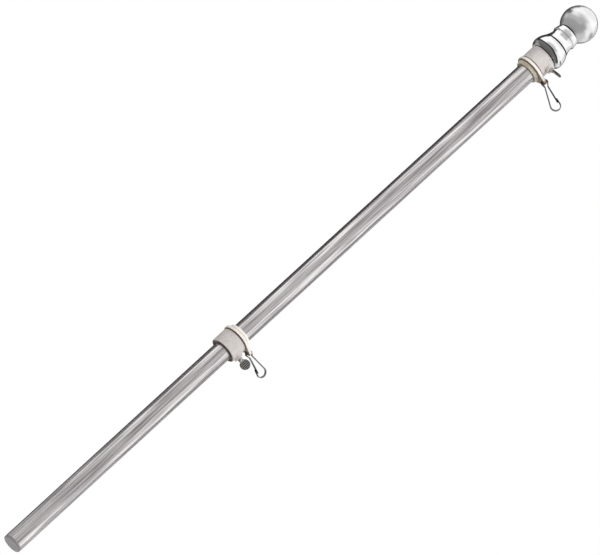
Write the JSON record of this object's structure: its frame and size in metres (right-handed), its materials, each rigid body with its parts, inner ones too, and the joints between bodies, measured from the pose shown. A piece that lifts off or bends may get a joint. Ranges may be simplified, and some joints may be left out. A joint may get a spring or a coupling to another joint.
{
  "type": "flagpole",
  "caption": "Straight one-inch metal flagpole with a ball finial and two clamp-on rotating rings, each with a thumb screw and a snap hook for the flag.",
  "frame": {"origin": "centre of the butt plug's flat face, at the foot of the pole", "axes": "+Z along the pole towards the ball, +X towards the lower ring's lug"},
  "size_m": [0.0839, 0.0495, 1.016],
  "materials": {
    "brushed_stainless": "brushed lengthwise",
    "grey_plug": "moulded, satin",
    "chrome_plate": "polished chrome plate",
    "ivory_nylon": "moulded, slightly translucent",
    "zinc_plate": "zinc plated, worn dark in the hollows",
    "spring_steel": "bright spring strip"
  },
  "bodies": {
    "pole": {"pole_tube": "brushed_stainless", "butt_plug": "grey_plug", "finial_neck": "chrome_plate", "finial_ball": "chrome_plate"},
    "lower_ring": {"lower_ring_barrel": "ivory_nylon", "lower_ring_retainer": "ivory_nylon"},
    "lower_spinner": {"lower_ring_spinner": "ivory_nylon"},
    "lower_hook": {"lower_snap_hook": "spring_steel"},
    "lower_screw": {"lower_thumb_screw": "zinc_plate"},
    "upper_ring": {"upper_ring_barrel": "ivory_nylon", "upper_ring_retainer": "ivory_nylon"},
    "upper_spinner": {"upper_ring_spinner": "ivory_nylon"},
    "upper_hook": {"upper_snap_hook": "spring_steel"},
    "upper_screw": {"upper_thumb_screw": "zinc_plate"}
  },
  "joints": [
    {"name": "lower_ring_slide", "type": "slide", "parent": "pole", "child": "lower_ring", "axis": [0, 0, 1], "range_m": [-0.34, 0.2]},
    {"name": "lower_plate_spin", "type": "hinge", "parent": "lower_ring", "child": "lower_spinner", "pos_m": [0, 0, 0.3907], "axis": [0, 0, 1], "continuous": true},
    {"name": "lower_hook_swing", "type": "hinge", "parent": "lower_spinner", "child": "lower_hook", "pos_m": [0.02396, 0.00169, 0.3907], "axis": [-0.4384, 0.8988, 0], "range_deg": [-71, 79]},
    {"name": "lower_screw_turn", "type": "hinge", "parent": "lower_ring", "child": "lower_screw", "pos_m": [0.02363, -0.00417, 0.3754], "axis": [0.9848, -0.1736, 0], "continuous": true},
    {"name": "upper_ring_slide", "type": "slide", "parent": "pole", "child": "upper_ring", "axis": [0, 0, 1], "range_m": [-0.2, 0]},
    {"name": "upper_plate_spin", "type": "hinge", "parent": "upper_ring", "child": "upper_spinner", "pos_m": [0, 0, 0.9063], "axis": [0, 0, 1], "continuous": true},
    {"name": "upper_hook_swing", "type": "hinge", "parent": "upper_spinner", "child": "upper_hook", "pos_m": [0.02288, -0.00833, 0.9063], "axis": [0.342, 0.9397, 0], "range_deg": [-97, 53]},
    {"name": "upper_screw_turn", "type": "hinge", "parent": "upper_ring", "child": "upper_screw", "pos_m": [0.01838, -0.01543, 0.9216], "axis": [0.766, -0.6428, 0], "continuous": true}
  ]
}
